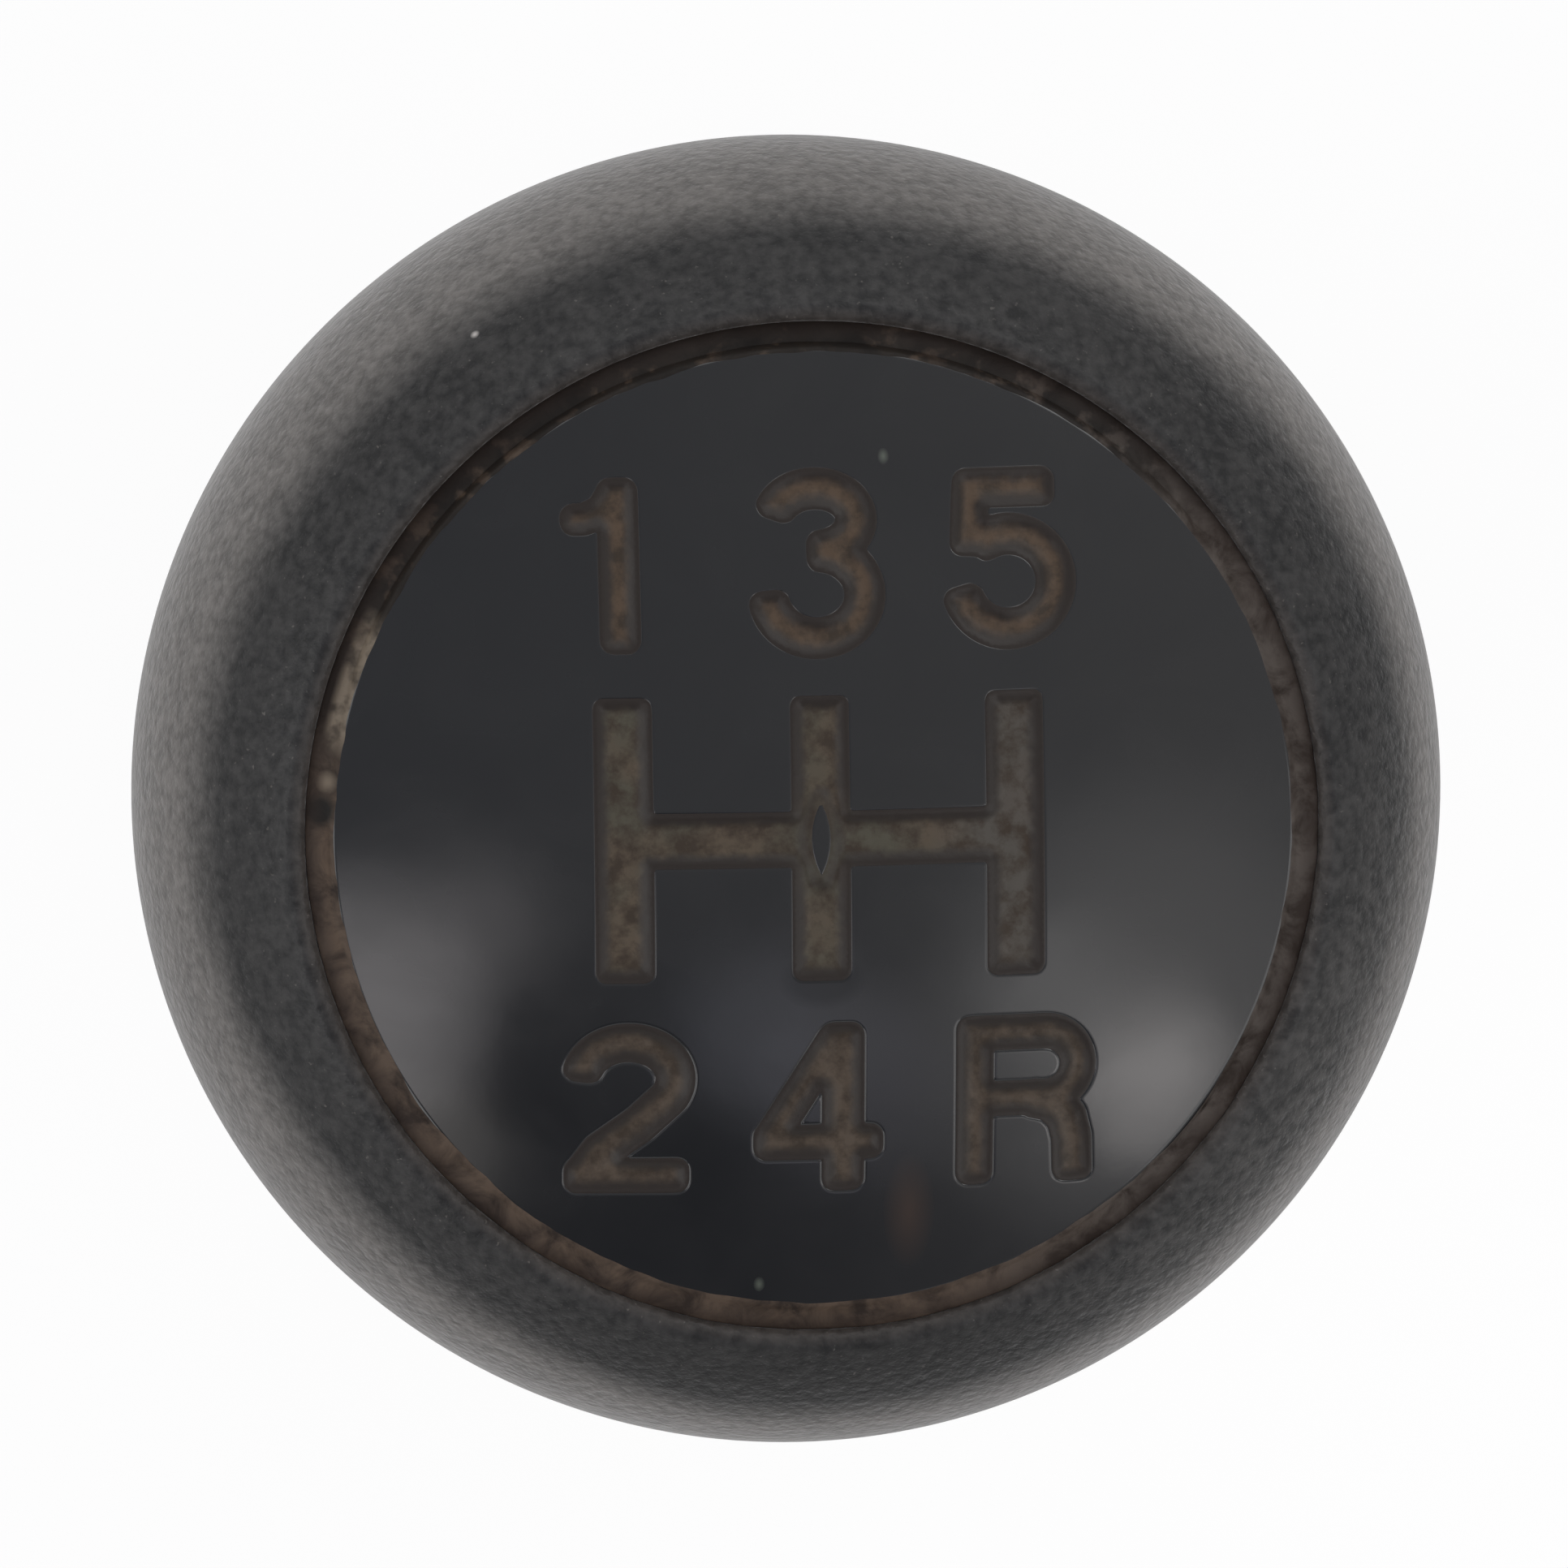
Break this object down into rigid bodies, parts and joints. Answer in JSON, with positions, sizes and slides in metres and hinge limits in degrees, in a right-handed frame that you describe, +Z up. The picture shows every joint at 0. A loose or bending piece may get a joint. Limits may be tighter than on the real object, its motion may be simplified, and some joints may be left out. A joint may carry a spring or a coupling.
{
  "type": "gear shift knob",
  "caption": "Round screw-on gear shift knob with a soft grained grip, a glossy domed cap with an engraved gate pattern, a rigid core and a brass lever thread.",
  "frame": {"origin": "centre of the foot ring under the neck, on the lever axis", "axes": "+Z up along the lever axis through the cap, +Y towards the top row of the legend, +X to its right-hand column"},
  "size_m": [0.05, 0.05, 0.0561],
  "materials": {
    "grip": "finely grained, matte, skin of a soft moulding",
    "core": "moulded",
    "brass": "turned and knurled",
    "cap": "polished, lightly worn",
    "bond": "aged adhesive, uneven",
    "paint": "aged filling paint, rubbed"
  },
  "bodies": {
    "root": {"grip": "grip", "core": "core", "threaded_insert": "brass", "cap": "cap", "cap_bond": "bond", "paint_gate": "paint", "paint_1": "paint", "paint_2": "paint", "paint_3": "paint", "paint_4": "paint", "paint_5": "paint", "paint_r": "paint"}
  },
  "joints": []
}
